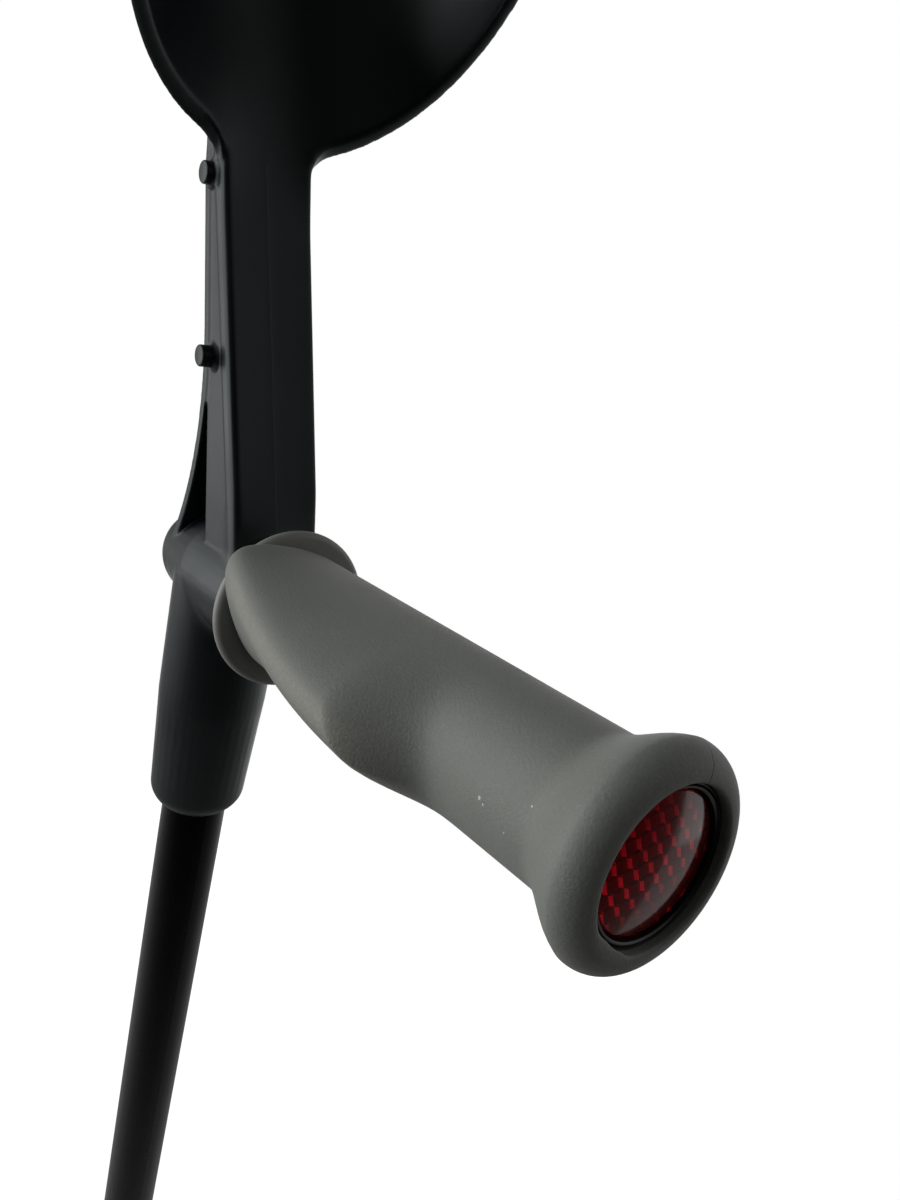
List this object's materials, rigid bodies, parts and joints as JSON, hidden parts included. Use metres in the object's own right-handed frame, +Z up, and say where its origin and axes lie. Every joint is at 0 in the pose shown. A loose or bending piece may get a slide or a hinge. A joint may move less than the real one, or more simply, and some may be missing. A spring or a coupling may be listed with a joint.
{
  "type": "forearm crutch",
  "caption": "Right-hand forearm crutch: open cuff, soft anatomical handle with a red end reflector, and a two-tube leg held by a spring button and a lock nut on a rubber foot.",
  "frame": {"origin": "centre of the rubber foot's tread on the floor, on the axis of the leg", "axes": "+Z up along the leg, +X forward along the handle, +Y to the left"},
  "size_m": [0.2353, 0.101, 1.0612],
  "materials": {
    "black_moulding": "moulded, fine grain",
    "black_nylon": "moulded, smooth",
    "collar_plastic": "moulded, satin",
    "soft_grip": "soft matt skin",
    "red_lens": "polished",
    "black_tube": "black anodised",
    "rubber": "moulded matt",
    "steel": "zinc plated"
  },
  "bodies": {
    "upper_frame": {"upper_moulding": "black_moulding", "grip_liner": "collar_plastic", "grip_sleeve": "soft_grip", "grip_screw": "steel", "grip_washer": "steel", "reflector_housing": "black_nylon", "reflector_back": "red_lens", "reflector_lens": "red_lens", "upper_tube": "black_tube", "tube_plug": "black_nylon", "socket_rivet": "steel", "collet_bush": "black_nylon", "clamp_ring": "rubber"},
    "lower_leg": {"lower_tube": "black_tube", "guide_sleeve": "black_nylon", "button_spring": "steel", "ferrule": "rubber", "ferrule_washer": "steel"},
    "button": {"spring_button": "steel"},
    "nut": {"lock_nut": "black_nylon"}
  },
  "joints": [
    {"name": "height_slide", "type": "slide", "parent": "upper_frame", "child": "lower_leg", "axis": [0, 0, -1], "range_m": [-0.12, 0.12]},
    {"name": "button_press", "type": "slide", "parent": "lower_leg", "child": "button", "axis": [1, 0, 0], "range_m": [0, 0.0038], "stiffness_N_per_m": 4000, "springref_m": -0.001, "deforming": ["button_spring"]},
    {"name": "nut_turn", "type": "hinge", "parent": "upper_frame", "child": "nut", "pos_m": [0, 0, 0.349], "axis": [0, 0, 1], "range_deg": [-180, 0]}
  ]
}
